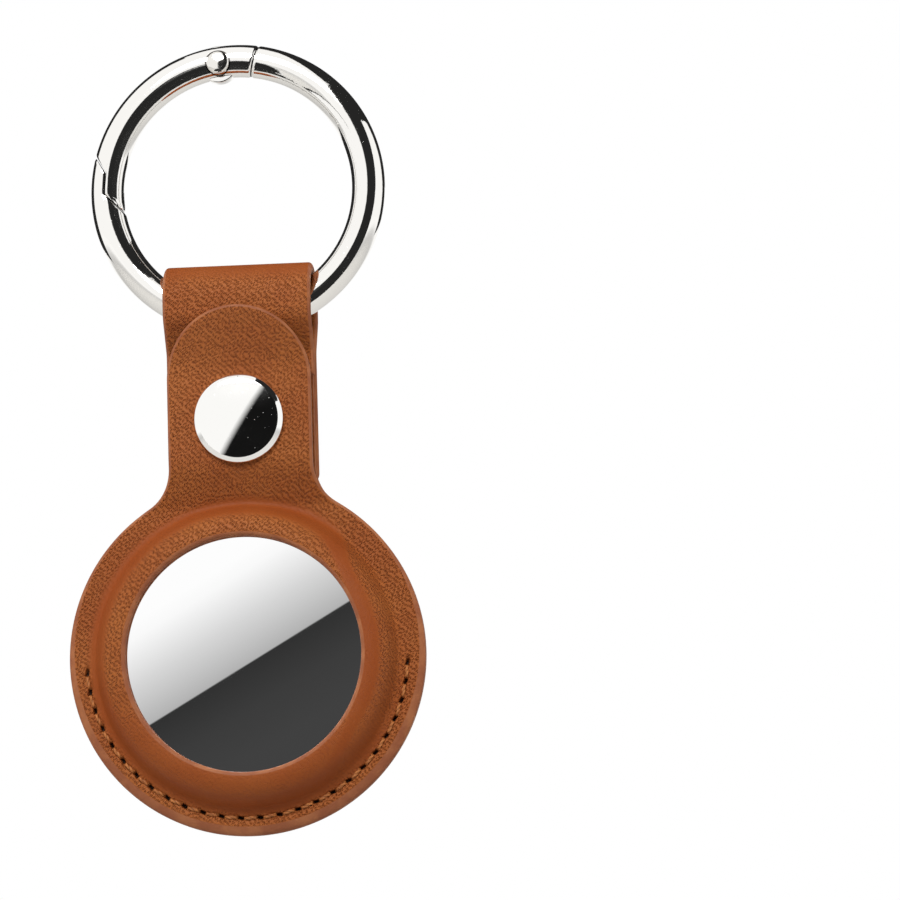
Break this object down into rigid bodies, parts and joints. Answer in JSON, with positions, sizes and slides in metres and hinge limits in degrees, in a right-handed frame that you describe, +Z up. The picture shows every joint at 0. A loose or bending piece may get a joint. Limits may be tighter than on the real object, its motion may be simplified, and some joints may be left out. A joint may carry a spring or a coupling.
{
  "type": "tracker tag holder",
  "caption": "Round leather pouch with a window for a disc-shaped tracker tag, a snap-closed flap and a folded strap that hangs on a spring-gate ring.",
  "frame": {"origin": "centre of the ring's eye, in the plane of the ring", "axes": "+Z up along the hanging holder, front with the window faces -Y, +X to the right seen from the front"},
  "size_m": [0.043, 0.0111, 0.0968],
  "materials": {
    "ring_metal": "bright plated, polished",
    "spring_wire": "drawn spring wire",
    "leather": "fine pebbled grain, painted edges",
    "thread": "twisted sewing thread",
    "cap_metal": "bright plated, polished",
    "snap_metal": "nickel plated",
    "tag_plastic": "white, glossy",
    "tag_steel": "mirror polished steel",
    "cell_steel": "brushed",
    "board": "solder mask",
    "contact_metal": "plated spring strip",
    "sounder": "moulded"
  },
  "bodies": {
    "ring": {"ring_body": "ring_metal"},
    "gate": {"ring_gate": "ring_metal", "hinge_pin": "ring_metal", "gate_spring": "spring_wire"},
    "pouch": {"hanger_strap": "leather", "back_panel": "leather", "front_panel": "leather", "pouch_stitching": "thread", "strap_stitching": "thread", "snap_stud": "snap_metal", "back_cap": "cap_metal", "back_cap_post": "snap_metal"},
    "flap": {"front_flap": "leather", "front_cap": "cap_metal", "front_cap_post": "snap_metal", "snap_socket": "snap_metal", "socket_catch": "spring_wire"},
    "tag": {"tag_shell": "tag_plastic", "tag_cell": "cell_steel", "tag_board": "board", "tag_contacts": "contact_metal", "tag_sounder": "sounder"},
    "tag_lid": {"tag_cover": "tag_steel"}
  },
  "joints": [
    {"name": "gate_pivot", "type": "hinge", "parent": "ring", "child": "gate", "pos_m": [-0.00191, 0, 0.01558], "axis": [0, -1, 0], "range_deg": [0, 30], "stiffness_Nm_per_rad": 0.02, "springref_deg": -22.92, "deforming": ["gate_spring"]},
    {"name": "loop_swing", "type": "hinge", "parent": "ring", "child": "pouch", "pos_m": [0, 0, -0.01436], "axis": [1, 0, 0], "range_deg": [-45, 45]},
    {"name": "flap_fold", "type": "hinge", "parent": "pouch", "child": "flap", "pos_m": [0, -0.00594, -0.05726], "axis": [1, 0, 0], "range_deg": [0, 70], "deforming": ["socket_catch"]},
    {"name": "tag_turn", "type": "hinge", "parent": "pouch", "child": "tag", "pos_m": [0, 0, -0.05726], "axis": [0, -1, 0], "continuous": true},
    {"name": "cover_twist", "type": "hinge", "parent": "tag", "child": "tag_lid", "pos_m": [0, 0, -0.05726], "axis": [0, -1, 0], "range_deg": [0, 42]}
  ]
}
